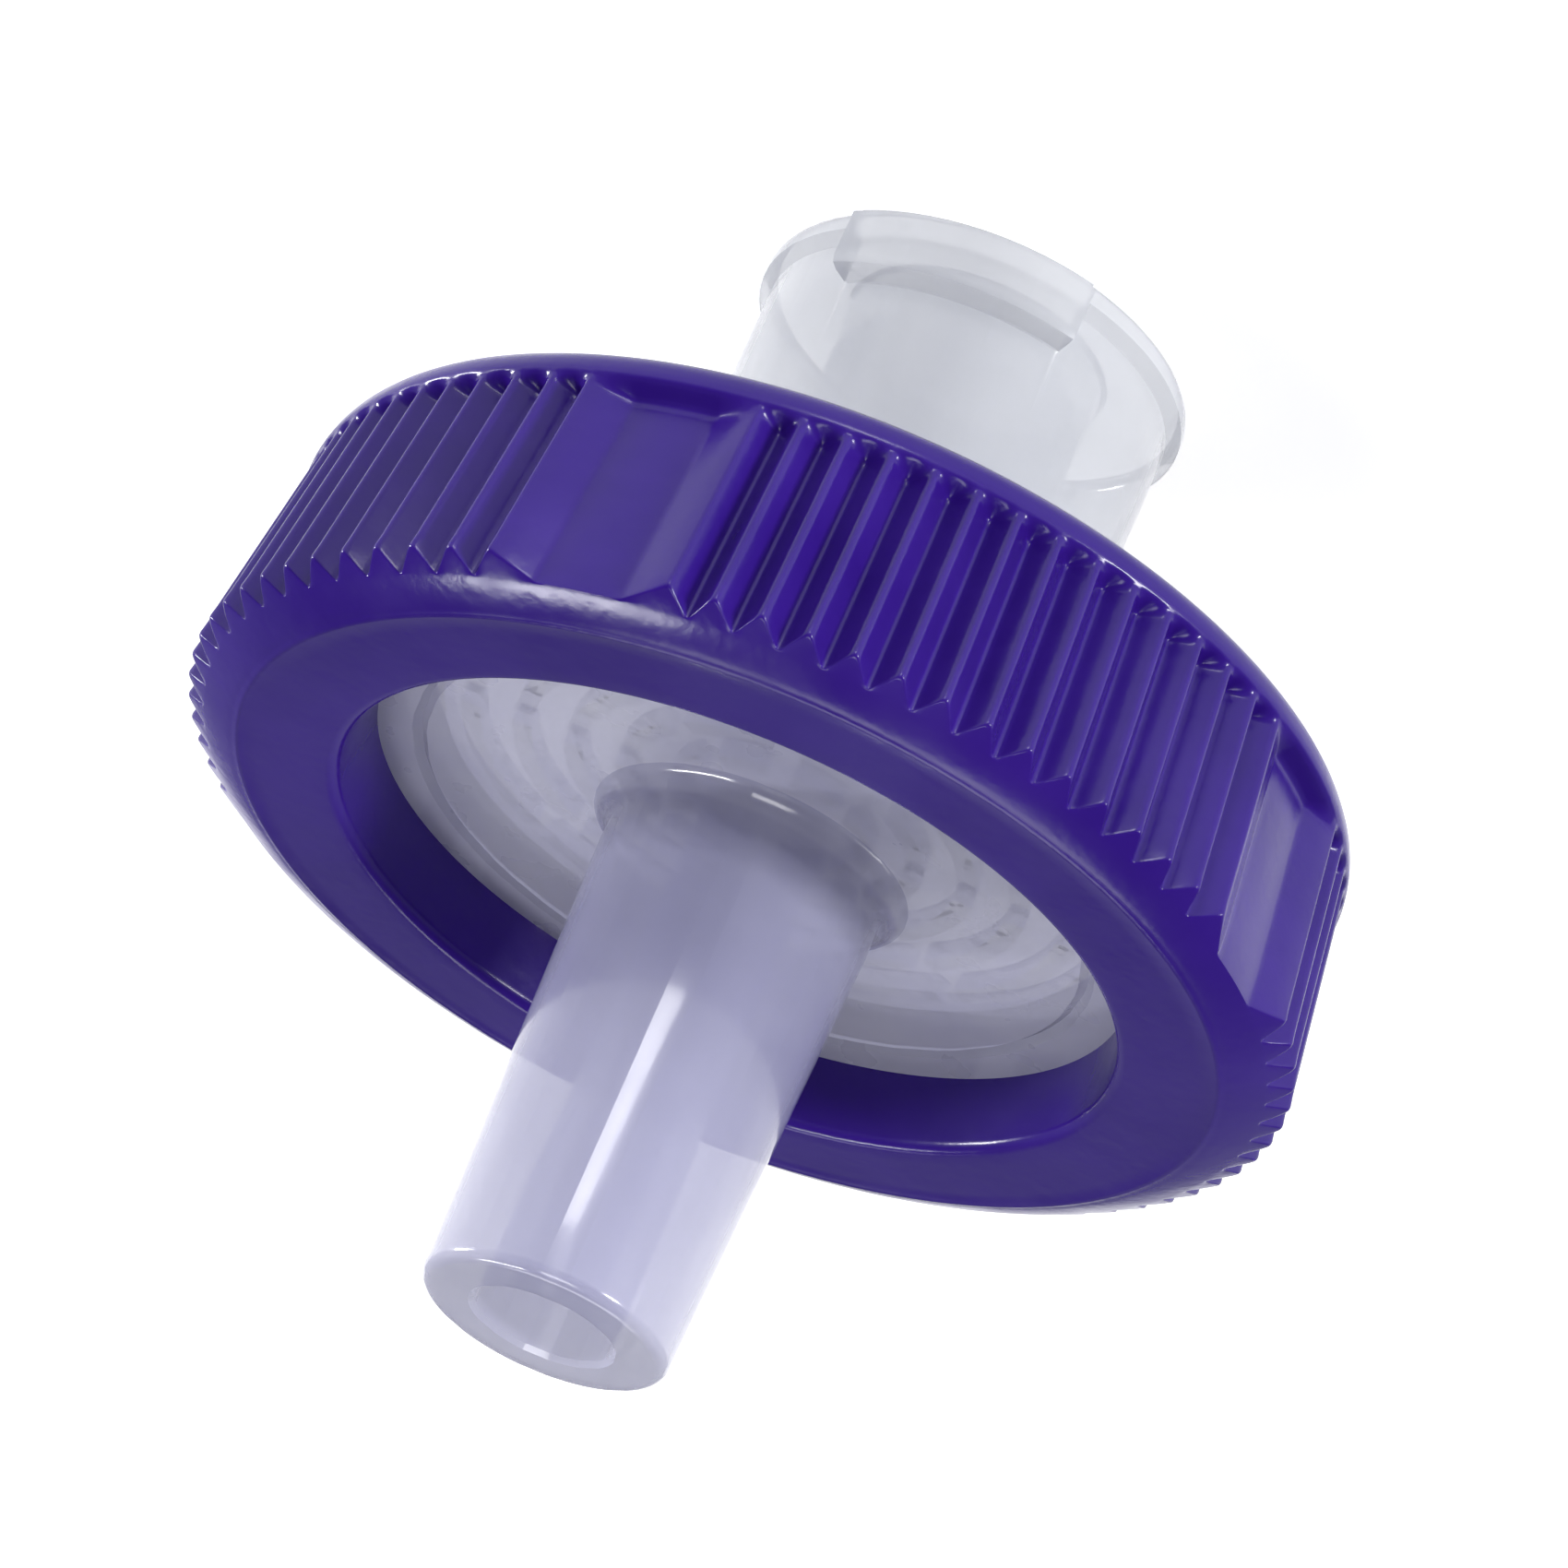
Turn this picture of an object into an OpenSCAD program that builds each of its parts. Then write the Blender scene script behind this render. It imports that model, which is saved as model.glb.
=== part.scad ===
// Syringe filter for lab samples, in millimetres.
// It stands on the end of its female luer inlet, with its slip outlet pointing up.
// Two clear housing halves clamp a membrane disc, and a moulded grip ring holds them together.
// The origin is the centre of the inlet's end, and +Z runs along the flow, towards the outlet.

/* [Grip ring] */
// Diameter over the tips of the grip ribs, where they meet the shoulder
ring_d = 18.1; // [17:0.1:20]
// Height of the ring between its two flat faces
ring_h = 4.5; // [4.3:0.1:6]
// Draft of the side, which is narrower towards the inlet
side_draft = 6.5; // [3:0.5:8]
// Thickness of the ring round the flanges, from the tips of the ribs inwards
ring_wall = 1.65; // [1.5:0.05:1.9]
// Height of the sloping shoulder between the outlet face and the tips of the ribs
shoulder_h = 0.48; // [0.3:0.02:0.7]
// Width of the sloping shoulder
shoulder_w = 1; // [0.85:0.05:1.25]
// Radius of the edge between the side and the inlet face
inlet_edge_r = 0.45; // [0.2:0.05:0.5]
// Radius of the softer edge round each opening
opening_edge_r = 0.2; // [0.05:0.05:0.3]

/* [Smooth band] */
// Height of the smooth band that closes the ribs off on the inlet side
band_h = 0.5; // [0.5:0.05:0.8]
// How far the band stands out beyond the tips of the ribs
band_step = 0.04; // [0.02:0.01:0.08]
// Height of the slope where the grooves and panels run out into the band
run_out_h = 0.25; // [0.1:0.05:0.5]

/* [Grip ribs] */
// How far a rib stands out from the ring
rib_rise = 0.36; // [0.2:0.02:0.46]
// Width of a rib where it meets the ring
rib_w = 0.6; // [0.4:0.02:0.62]
// Width of the flat on a rib's tip
rib_tip_w = 0.08; // [0.04:0.02:0.2]
// Angle from one rib to the next
rib_step = 4.5; // [4.4:0.05:4.7]
// Ribs in a short group
short_group_ribs = 15; // [8:1:16]
// Ribs in a long group
long_group_ribs = 19; // [10:1:20]
// Pairs of one short and one long group, with a smooth panel between two groups
group_pairs = 2; // [1:1:2]
// Angle of the slope that runs from a panel up to the first rib
ramp_angle = 4.5; // [3:0.5:5.5]
// Turn of the middle of the first short group about the axis
group_turn = 3.75; // [0:0.25:90]

/* [Openings in the ring] */
// How far the ring laps over the flange on the outlet side
outlet_lap = 1.05; // [0.8:0.05:1.25]
// Depth from the ring's outlet face to the outlet plate
outlet_opening_depth = 1.25; // [1:0.05:1.4]
// How far the ring laps over the flange on the inlet side
inlet_lap = 1.25; // [0.9:0.05:1.35]
// Depth from the ring's inlet face to the inlet plate
inlet_opening_depth = 1; // [0.8:0.05:1.3]
// How much narrower an opening is at the plate than at the face
opening_draft = 0.3; // [0.1:0.05:0.5]

/* [Membrane and flanges] */
// Diameter of the membrane disc
membrane_d = 11.4; // [11.1:0.1:11.8]
// Thickness of the membrane disc
membrane_t = 0.15; // [0.1:0.01:0.25]
// Diameter of the chamber on each side of the membrane
chamber_d = 10.8; // [10:0.1:11]
// Thickness of the inlet plate and its flange
inlet_plate_t = 1; // [0.9:0.05:1.2]
// Chamfer round the rim of each flange
flange_chamfer = 0.2; // [0.05:0.05:0.3]

/* [Flow channels] */
// Depth of the chamber and channels on each side of the membrane
channel_depth = 0.35; // [0.2:0.05:0.45]
// Spokes that spread the flow over the inlet side
inlet_spokes = 12; // [6:1:16]
// Width of an inlet spoke
spoke_w = 0.3; // [0.2:0.05:0.4]
// Gap between an inlet spoke and the membrane
spoke_gap = 0.1; // [0.05:0.05:0.15]
// Ring-shaped ridges that carry the membrane on the outlet side
drain_ridges = 5; // [3:1:6]
// Width of a ridge
ridge_w = 0.32; // [0.2:0.02:0.4]
// Straight channels that cut across the ridges
drain_cuts = 8; // [4:1:12]
// Width of a straight channel
drain_cut_w = 0.4; // [0.2:0.05:0.5]

/* [Luer inlet] */
// Length of the inlet beyond the ring's inlet face
inlet_len = 6.6; // [6:0.1:8.5]
// Outer diameter of the inlet's wall
inlet_d = 6.8; // [6.6:0.05:7]
// Diameter over the rim at the mouth
rim_d = 7.2; // [7.05:0.05:7.4]
// Height of the rim
rim_h = 0.55; // [0.3:0.05:0.8]
// Diameter over the two locking lugs
lug_d = 7.8; // [7.6:0.02:7.83]
// Height of a lug along the inlet
lug_h = 1.3; // [1:0.05:1.8]
// Chamfer along the two outer edges of a lug
lug_chamfer = 0.18; // [0.05:0.01:0.25]
// Distance from the inlet's end to the start of a lug
lug_setback = 0.1; // [0.05:0.05:0.3]
// Angle that a lug covers
lug_angle = 62; // [45:1:75]
// Turn of the lugs about the axis
lug_turn = 30; // [0:5:90]
// Mouth diameter of the tapered socket
socket_mouth_d = 4.28; // [4.27:0.01:4.32]
// Wall between the end of the socket and the membrane's chamber
socket_end_wall = 0.9; // [0.8:0.05:1.2]
// Diameter of the hole from the socket into the chamber
feed_hole_d = 2; // [1:0.1:2.4]
// Diameter of the foot where the inlet spreads into its plate
inlet_foot_d = 8.6; // [7.6:0.1:9.6]
// Height of that foot
inlet_foot_h = 1.1; // [0.6:0.1:1.3]

/* [Slip outlet] */
// Length of the outlet beyond the ring's outlet face
outlet_len = 7.1; // [6.5:0.1:9]
// Diameter of the outlet at its tip
outlet_tip_d = 3.95; // [3.93:0.01:4.02]
// Bore diameter at the tip
outlet_bore_d = 2.2; // [1.6:0.05:2.4]
// Bore diameter at the plate, a little less so that the mould's pin comes out
outlet_bore_root_d = 2; // [1.4:0.05:2.2]
// Radius of the edge round the tip
tip_edge_r = 0.2; // [0.05:0.05:0.3]
// Radius of the fillet where the outlet meets its plate
outlet_fillet_r = 0.45; // [0.2:0.05:0.6]
// Distance from the outlet opening's wall to the fine groove in the outlet plate
plate_groove_gap = 0.85; // [0.55:0.05:1.3]
// Width of the fine groove, and twice its depth
plate_groove_w = 0.24; // [0.1:0.02:0.3]

/* [Hidden] */
$fn = 96;
luer_taper = 0.06;          // change of diameter for each millimetre of length
sunk = 0.2;                 // how far a raised form is rooted in what carries it
past = 1;                   // how far a cutting form runs past what it cuts
arc_steps = 8;

ring_low = inlet_len;
ring_high = ring_low + ring_h;
tip_z = ring_high + outlet_len;
inlet_plate_z = ring_low + inlet_opening_depth;
outlet_plate_z = ring_high - outlet_opening_depth;
seam_z = inlet_plate_z + inlet_plate_t;
chamber_r = chamber_d / 2;
flange_r = ring_d / 2 - ring_wall;
face_r = ring_d / 2 - shoulder_w;
outlet_opening_r = flange_r - outlet_lap;
inlet_opening_r = flange_r - inlet_lap;
plate_groove_r = outlet_opening_r - plate_groove_gap;
rib_end_z = ring_high - shoulder_h;
band_z = ring_low + band_h;
pair_angle = 360 / group_pairs;
socket_depth = seam_z - channel_depth - socket_end_wall;
outlet_root_d = outlet_tip_d + luer_taper * (tip_z - outlet_plate_z);

// Points of an arc about a centre [r, z], from angle a0 to angle a1
function arc(centre, radius, a0, a1) = [
    for (i = [0 : arc_steps])
        let (a = a0 + (a1 - a0) * i / arc_steps)
            centre + radius * [cos(a), sin(a)]];

// A point in the plane of the ring, at a radius and an angle
function polar(radius, angle) = radius * [cos(angle), sin(angle)];

// Radius of the drafted side at a height, over the tips of the ribs
function side_r(z) = ring_d / 2 - (rib_end_z - z) * tan(side_draft);

// Outline of the ring on the outlet side, from the plate up, over the face and out to the floor
// between the ribs. The shoulder is cut later, across the body and the ribs together.
function outlet_outline() = concat(
    [[outlet_opening_r - opening_draft / 2, outlet_plate_z]],
    arc([outlet_opening_r + opening_edge_r, ring_high - opening_edge_r],
        opening_edge_r, 180, 90),
    [[side_r(ring_high) - rib_rise, ring_high]]);

// Outline on the inlet side: the run-out, the band, its rounded edge, the face and the opening
function inlet_outline() =
    let (band_r = side_r(band_z) + band_step,
         edge_z = ring_low + inlet_edge_r,
         edge_x = band_r - ((band_z - edge_z) * sin(side_draft) + inlet_edge_r) / cos(side_draft))
        concat(
            [[side_r(band_z + run_out_h) - rib_rise, band_z + run_out_h], [band_r, band_z]],
            arc([edge_x, edge_z], inlet_edge_r, -side_draft, -90),
            arc([inlet_opening_r + opening_edge_r, ring_low + opening_edge_r],
                opening_edge_r, 270, 180),
            [[inlet_opening_r - opening_draft / 2, inlet_plate_z]]);

// Plain body of the ring, with the groove that holds the flanges
module ring_body() {
    rotate_extrude()
        polygon(concat(outlet_outline(), inlet_outline(),
                       [[flange_r, inlet_plate_z], [flange_r, outlet_plate_z]]));
}

// Section of one rib, with its tip at the origin and standing out along +X
module rib_section() {
    polygon([[-rib_rise - sunk, -rib_w / 2], [-rib_rise, -rib_w / 2],
             [0, -rib_tip_w / 2], [0, rib_tip_w / 2],
             [-rib_rise, rib_w / 2], [-rib_rise - sunk, rib_w / 2]]);
}

// Section of the slope from a panel up to the tip of the rib at the end of a group
module ramp_section() {
    foot = polar(ring_d / 2 - rib_rise, ramp_angle) - [ring_d / 2, 0];
    rooted = foot * (1 + sunk / rib_rise);
    polygon([[0, 0], [0, rib_tip_w / 2], rooted, [rooted.x, 0]]);
}

// Draws a section out along the drafted side at +X, from inside the band to above the face
module along_side() {
    length = (ring_high - band_z + 2 * sunk) / cos(side_draft);
    translate([side_r(band_z - sunk), 0, band_z - sunk])
        rotate([0, side_draft, 0])
            linear_extrude(height = length) children();
}

// One group of ribs, centred on +X, with a ramp at each end
module rib_group(ribs) {
    end_angle = (ribs - 1) * rib_step / 2;
    for (i = [1 : ribs - 2])
        rotate(i * rib_step - end_angle) along_side() rib_section();
    rotate(end_angle) along_side() {
        rib_section();
        ramp_section();
    }
    rotate(-end_angle) along_side() {
        rib_section();
        mirror([0, 1]) ramp_section();
    }
}

// What the sloping shoulder takes off, from the edge of the outlet face out past the tips
module shoulder_cut() {
    slope = shoulder_h / shoulder_w;
    rotate_extrude()
        polygon([[face_r - past, ring_high + past * slope],
                 [ring_d / 2 + past, rib_end_z - past * slope],
                 [ring_d / 2 + past, ring_high + past],
                 [face_r - past, ring_high + past]]);
}

module grip_ring() {
    color("#4a3592") difference() {
        union() {
            ring_body();
            for (pair = [0 : group_pairs - 1])
                rotate(group_turn + pair * pair_angle) {
                    rib_group(short_group_ribs);
                    rotate(pair_angle / 2) rib_group(long_group_ribs);
                }
        }
        shoulder_cut();
    }
}

// Outside of the inlet: rim, wall, spreading foot, plate and clamped flange
module inlet_form() {
    rotate_extrude()
        polygon(concat(
            [[0, 0]],
            arc([rim_d / 2 - rim_h / 3, rim_h / 3], rim_h / 3, -90, 0),
            [[rim_d / 2, rim_h * 2 / 3], [inlet_d / 2, rim_h],
             [inlet_d / 2, inlet_plate_z - inlet_foot_h],
             [inlet_foot_d / 2, inlet_plate_z],
             [flange_r - flange_chamfer, inlet_plate_z],
             [flange_r, inlet_plate_z + flange_chamfer],
             [flange_r, seam_z], [0, seam_z]]));
}

// One locking lug, centred on +X
module lug() {
    rotate(-lug_angle / 2)
        rotate_extrude(angle = lug_angle)
            polygon([[inlet_d / 2 - sunk, lug_setback], [lug_d / 2 - lug_chamfer, lug_setback],
                     [lug_d / 2, lug_setback + lug_chamfer], [lug_d / 2, lug_h - lug_chamfer],
                     [lug_d / 2 - lug_chamfer, lug_h], [inlet_d / 2 - sunk, lug_h]]);
}

// Tapered socket, feed hole and the chamber with its spokes left standing
module inlet_flow_path() {
    translate([0, 0, -past])
        cylinder(h = past + socket_depth,
                 d1 = socket_mouth_d + luer_taper * past,
                 d2 = socket_mouth_d - luer_taper * socket_depth);
    translate([0, 0, socket_depth - sunk])
        cylinder(h = seam_z - socket_depth + sunk, d = feed_hole_d);
    difference() {
        translate([0, 0, seam_z - channel_depth])
            cylinder(h = channel_depth + past, r = chamber_r);
        for (i = [0 : inlet_spokes - 1])
            rotate((i + 0.5) * 360 / inlet_spokes)
                translate([feed_hole_d, -spoke_w / 2, seam_z - channel_depth - sunk])
                    cube([chamber_r - feed_hole_d - spoke_w, spoke_w, channel_depth - spoke_gap + sunk]);
    }
}

module inlet_housing() {
    color("#dcdde8", 0.55) difference() {
        union() {
            inlet_form();
            for (side = [0, 180]) rotate(lug_turn + side) lug();
        }
        inlet_flow_path();
    }
}

// Outside of the outlet: clamped flange, plate, fillet and tapered tube
module outlet_form() {
    fillet_centre = [outlet_root_d / 2 + outlet_fillet_r, outlet_plate_z + outlet_fillet_r];
    rotate_extrude()
        polygon(concat(
            [[0, seam_z], [flange_r, seam_z],
             [flange_r, outlet_plate_z - flange_chamfer],
             [flange_r - flange_chamfer, outlet_plate_z],
             [plate_groove_r + plate_groove_w / 2, outlet_plate_z],
             [plate_groove_r, outlet_plate_z - plate_groove_w / 2],
             [plate_groove_r - plate_groove_w / 2, outlet_plate_z]],
            arc(fillet_centre, outlet_fillet_r, 270, 180),
            arc([outlet_tip_d / 2 - tip_edge_r, tip_z - tip_edge_r], tip_edge_r, 0, 90),
            [[0, tip_z]]));
}

// Seat for the membrane, ring-shaped channels between the ridges, cross channels and the bore
module outlet_flow_path() {
    seat_z = seam_z + membrane_t;
    ridge_step = (chamber_r - outlet_bore_d / 2) / drain_ridges;
    translate([0, 0, seam_z - past]) cylinder(h = past + membrane_t, d = membrane_d);
    difference() {
        translate([0, 0, seat_z - past]) cylinder(h = past + channel_depth, r = chamber_r);
        for (i = [1 : drain_ridges]) {
            middle = outlet_bore_d / 2 + (i - 0.5) * ridge_step;
            difference() {
                translate([0, 0, seat_z]) cylinder(h = channel_depth + past, r = middle + ridge_w / 2);
                translate([0, 0, seat_z - past])
                    cylinder(h = channel_depth + 3 * past, r = middle - ridge_w / 2);
            }
        }
    }
    for (i = [0 : drain_cuts - 1])
        rotate((i + 0.5) * 360 / drain_cuts)
            translate([0, -drain_cut_w / 2, seat_z - past])
                cube([chamber_r - ridge_w / 2, drain_cut_w, past + channel_depth]);
    translate([0, 0, seat_z])
        cylinder(h = tip_z - seat_z + past, d1 = outlet_bore_root_d, d2 = outlet_bore_d);
}

module outlet_housing() {
    color("#dcdde8", 0.55) difference() {
        outlet_form();
        outlet_flow_path();
    }
}

module membrane() {
    color("#f4f3ef") translate([0, 0, seam_z]) cylinder(h = membrane_t, d = membrane_d);
}

inlet_housing();
outlet_housing();
membrane();
grip_ring();
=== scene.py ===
# %% [markdown]
# # A syringe filter on a bench
# A syringe filter is a thumbnail-sized lab part. A syringe locks into its inlet, the liquid is
# pressed through a white membrane disc, and it leaves by a thin tube. Two clear plastic halves
# hold the disc, and a violet ring with grip ribs is moulded round them.
# This lesson dresses the measured part: it loads the solids, builds a smooth mesh over each of
# them, gives each a procedural finish, and sets up a camera, a floor and soft light.

# %% Load the measured part
import math

import bmesh
import bpy
from mathutils import Matrix, Vector


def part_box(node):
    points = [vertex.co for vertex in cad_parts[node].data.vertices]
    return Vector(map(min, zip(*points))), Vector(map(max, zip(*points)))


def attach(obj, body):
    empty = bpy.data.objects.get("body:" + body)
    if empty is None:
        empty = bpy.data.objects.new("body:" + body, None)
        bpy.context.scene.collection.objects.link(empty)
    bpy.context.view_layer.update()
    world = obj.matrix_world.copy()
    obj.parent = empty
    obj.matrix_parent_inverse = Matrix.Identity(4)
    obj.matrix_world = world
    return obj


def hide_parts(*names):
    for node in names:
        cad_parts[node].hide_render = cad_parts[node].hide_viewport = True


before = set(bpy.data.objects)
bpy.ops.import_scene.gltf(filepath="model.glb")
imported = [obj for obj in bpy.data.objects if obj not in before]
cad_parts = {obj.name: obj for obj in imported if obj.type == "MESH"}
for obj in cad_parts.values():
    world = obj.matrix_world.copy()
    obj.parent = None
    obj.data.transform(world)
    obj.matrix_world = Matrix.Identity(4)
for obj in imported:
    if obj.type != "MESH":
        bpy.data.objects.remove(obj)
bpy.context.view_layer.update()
print("solids:", sorted(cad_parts))

# %% [markdown]
# ## Sizes
# The solids say how tall each piece is and where it sits, so those heights are read from them.
# A box can't tell how wide an opening is, or how far a rib stands out. Those sizes are written
# here once, in millimetres, and every mesh below is worked out from them.

# %% Read heights from the solids
MM = 0.001


def heights(node):
    low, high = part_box(node)
    return low.z / MM, high.z / MM


ring_low, ring_high = heights("grip_ring")
seam_z = heights("inlet_housing")[1]
tip_z = heights("outlet_housing")[1]
membrane_low, membrane_high = heights("membrane")
membrane_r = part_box("membrane")[1].x / MM
flange_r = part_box("inlet_housing")[1].x / MM
print("ring from", round(ring_low, 2), "to", round(ring_high, 2), "mm")
print("tip at", round(tip_z, 2), "mm")

# %% [markdown]
# The ring's sizes come first. Its side leans by 6.5 degrees, and a rib is a ridge 0.62 mm wide
# at its foot and 0.08 mm at its tip. Heights are worked out from the solid's own top and bottom,
# so the skin can't drift away from the solid.

# %% Sizes of the ring
side_draft = math.tan(math.radians(6.5))
rib_tip_r, rib_rise, rib_w, rib_tip_w = 9.05, 0.36, 0.62, 0.08
rib_step, rib_groups = 4.5, ((3.75, 15), (93.75, 19), (183.75, 15), (273.75, 19))
ramp_angle = 4.5
face_r, shoulder_h, shoulder_crown = 8.05, 0.48, 0.05
rib_end_z = ring_high - shoulder_h
band_z, band_step, run_out_h = ring_low + 0.5, 0.04, 0.25
inlet_edge_r = 0.45
opening_edge_r, opening_draft = 0.2, 0.3
outlet_opening_r, outlet_plate_z = 6.35, ring_high - 1.25
inlet_opening_r, inlet_plate_z = 6.15, ring_low + 1.0


def side_r(z):
    """Radius over the rib tips at a height: the side is drafted and narrows towards the inlet."""
    return rib_tip_r - (rib_end_z - z) * side_draft


def shoulder_z(r):
    """Height of the sloping, slightly crowned shoulder between the face and the rib tips."""
    share = (r - face_r) / (rib_tip_r - face_r)
    return ring_high - shoulder_h * share + shoulder_crown * 4 * share * (1 - share)


print("rib tips from", round(side_r(rib_end_z), 2), "to", round(side_r(band_z), 2), "mm in radius")

# %% [markdown]
# The housing's sizes follow the luer standard: every taper opens by six per cent, which is a
# slope of 0.03 on each side. One slope then gives the tube's root from the size of its tip.

# %% Sizes of the clear housing
chamber_r, channel_depth = 5.4, 0.35
feed_hole_r, socket_mouth_r, luer_slope = 1.0, 2.14, 0.03
socket_depth = seam_z - channel_depth - 0.9
inlet_r, rim_r, rim_h = 3.4, 3.6, 0.55
lug_r, lug_h, lug_setback, lug_chamfer, lug_angle, lug_turn = 3.9, 1.3, 0.1, 0.18, 62, 30
foot_r, foot_h = 4.3, 1.1
spokes, spoke_w, spoke_gap = 12, 0.3, 0.1
outlet_tip_r, bore_tip_r, bore_root_r = 1.975, 1.1, 1.0
outlet_root_r = outlet_tip_r + luer_slope * (tip_z - outlet_plate_z)
outlet_fillet_r, tip_edge_r = 0.45, 0.2
groove_r, groove_w = 5.5, 0.24
drain_ridges, ridge_w, drain_cuts, drain_cut_w = 5, 0.32, 8, 0.4
flange_chamfer = 0.2
print("socket is", round(socket_depth, 2), "mm deep")

# %% [markdown]
# ## The camera
# The view is set first, because everything later is judged through it. The camera looks down
# at the outlet side from about 25 degrees above the plane of the disc, from near by, so that
# the tube grows towards the lens. A long lens then fills the picture with the small part. The
# camera is rolled, so that the outlet points down to the left.

# %% Place the camera
view_turn, view_rise, view_distance = 18.4, 24.7, 93.5
tube_in_picture = (-0.366, -0.821)
aim = Vector((0.0, 0.0, ring_high - 2.65)) * MM

camera = bpy.data.objects.new("camera", bpy.data.cameras.new("camera"))
bpy.context.scene.collection.objects.link(camera)
bpy.context.scene.camera = camera
camera.data.lens = 141
camera.data.clip_start = 0.01


def way_to(turn, rise):
    """The direction at a turn round the part and a rise above the bench, in degrees."""
    turn, rise = math.radians(turn), math.radians(rise)
    level = math.cos(rise)
    return Vector((level * math.cos(turn), level * math.sin(turn), math.sin(rise)))


def place_camera():
    ring_top = Vector((0, 0, ring_high))
    camera.location = (ring_top + way_to(view_turn, view_rise) * view_distance) * MM
    level = (aim - camera.location).to_track_quat("-Z", "Y")
    roll = math.atan2(tube_in_picture[1], tube_in_picture[0]) - math.pi / 2
    camera.rotation_mode = "QUATERNION"
    camera.rotation_quaternion = level @ Matrix.Rotation(-roll, 3, "Z").to_quaternion()


place_camera()
print("camera", [round(c / MM, 1) for c in camera.location], "mm, lens", camera.data.lens)

# %% [markdown]
# ## A skin of rings
# Every piece is a turned form, so one idea makes them all. A closed outline is given as
# stations, and each station is a whole ring of points round the axis. A function says where the
# ring's point lies at each turn, so ribs, lugs and spokes are only rings that leave the circle.
# Neighbouring rings are joined by four-sided faces. A modifier stack could turn an outline
# too, but it couldn't raise ribs in the same closed skin.

# %% Helpers that build a skin


def point_at(radius, turn, z):
    """A point in metres, from a radius and height in millimetres and a turn in degrees."""
    a = math.radians(turn)
    return Vector((radius * math.cos(a), radius * math.sin(a), z)) * MM


def arc(centre_r, centre_z, radius, start, end, steps=8):
    """Outline points (r, z) along an arc, angles in degrees."""
    angles = [math.radians(start + (end - start) * i / steps) for i in range(steps + 1)]
    return [(centre_r + radius * math.cos(a), centre_z + radius * math.sin(a)) for a in angles]


def along(start, end, steps):
    """Outline points from start up to, but not including, end."""
    return [
        (start[0] + (end[0] - start[0]) * i / steps, start[1] + (end[1] - start[1]) * i / steps)
        for i in range(steps)
    ]


def skin(name, rings, sharp_above=38):
    """Joins closed rings of points into one closed surface, the last ring to the first."""
    mesh = bpy.data.meshes.new(name)
    bm = bmesh.new()
    grid = [[bm.verts.new(p) for p in ring] for ring in rings]
    count = len(grid[0])
    for ring, following in zip(grid, grid[1:] + grid[:1]):
        for j in range(count):
            k = (j + 1) % count
            bm.faces.new((ring[j], ring[k], following[k], following[j]))
    bmesh.ops.recalc_face_normals(bm, faces=bm.faces)
    bm.to_mesh(mesh)
    bm.free()
    mesh.shade_smooth()
    mesh.set_sharp_from_angle(angle=math.radians(sharp_above))
    piece = bpy.data.objects.new(name, mesh)
    bpy.context.scene.collection.objects.link(piece)
    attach(piece, "root")
    print(name, len(mesh.vertices), "points,", len(mesh.polygons), "faces")
    return piece


print("a quarter arc has", len(arc(0, 0, 1, 0, 90)), "points")

# %% [markdown]
# ## The grip ring
# The violet ring is moulded round the rims of both halves. Its side carries four groups of
# fine, sharp ribs for wet gloves, with a smooth panel between two groups. At the outlet end a
# sloping shoulder cuts the ribs off. At the other end the grooves run out into a smooth band,
# and the whole side leans in by a few degrees, so that the mould lets go of it.
# The ribs could be 68 small prisms joined by booleans, but then every edge would be knife
# sharp. Here the height of the ribs is a function of the turn, averaged over a short distance,
# so each tip and valley gets the small radius that a mould gives it.

# %% Height of the ribs round the ring
half_rib_points = [-0.328, -0.3, -0.25, -0.17, -0.09, -0.05, -0.018]
rib_points = half_rib_points + [-s for s in reversed(half_rib_points)]
ramp_profile = ((0.0, 1.0), (0.06, 0.97), (0.5, 0.5), (0.88, 0.12), (0.97, 0.03), (1.08, 0.0))
blur = 0.03
panel_steps = 10


def tooth(distance):
    """Height of a rib, from 0 to 1, at a distance in millimetres from its middle."""
    slope = (rib_w / 2 - abs(distance)) / (rib_w / 2 - rib_tip_w / 2)
    return min(max(slope, 0.0), 1.0)


def blurred_tooth(distance):
    """The same height, averaged over a short distance, so that tip and valley are rounded."""
    return sum(tooth(distance + d) for d in (-blur, -blur / 2, 0, blur / 2, blur)) / 5


def group_stations(middle, ribs):
    """Turns in degrees and rib heights over one group, with the ramps at both its ends."""
    per_mm = math.degrees(1 / (rib_tip_r - rib_rise))
    half = (ribs - 1) * rib_step / 2
    stations = [(middle - half - ramp_angle * t, h) for t, h in reversed(ramp_profile)]
    for i in range(ribs):
        kept = [s for s in rib_points if (i > 0 or s > 0) and (i < ribs - 1 or s < 0)]
        stations += [(middle - half + i * rib_step + s * per_mm, blurred_tooth(s)) for s in kept]
    return stations + [(middle + half + ramp_angle * t, h) for t, h in ramp_profile]


def ribs_round_the_ring():
    """Turns in degrees with the height of the ribs there, from 0 to 1, once round the ring."""
    stations = []
    for middle, ribs in rib_groups:
        group = group_stations(middle, ribs)
        if stations:
            stations += panel_stations(stations[-1][0], group[0][0])
        stations += group
    return stations + panel_stations(stations[-1][0], stations[0][0] + 360)


def panel_stations(start, end):
    """Turns over a plain panel, between the ramps of two groups."""
    return [(start + (end - start) * i / panel_steps, 0.0) for i in range(1, panel_steps)]


rib_heights = ribs_round_the_ring()
print("grip ring has", len(rib_heights), "points round it")

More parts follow.
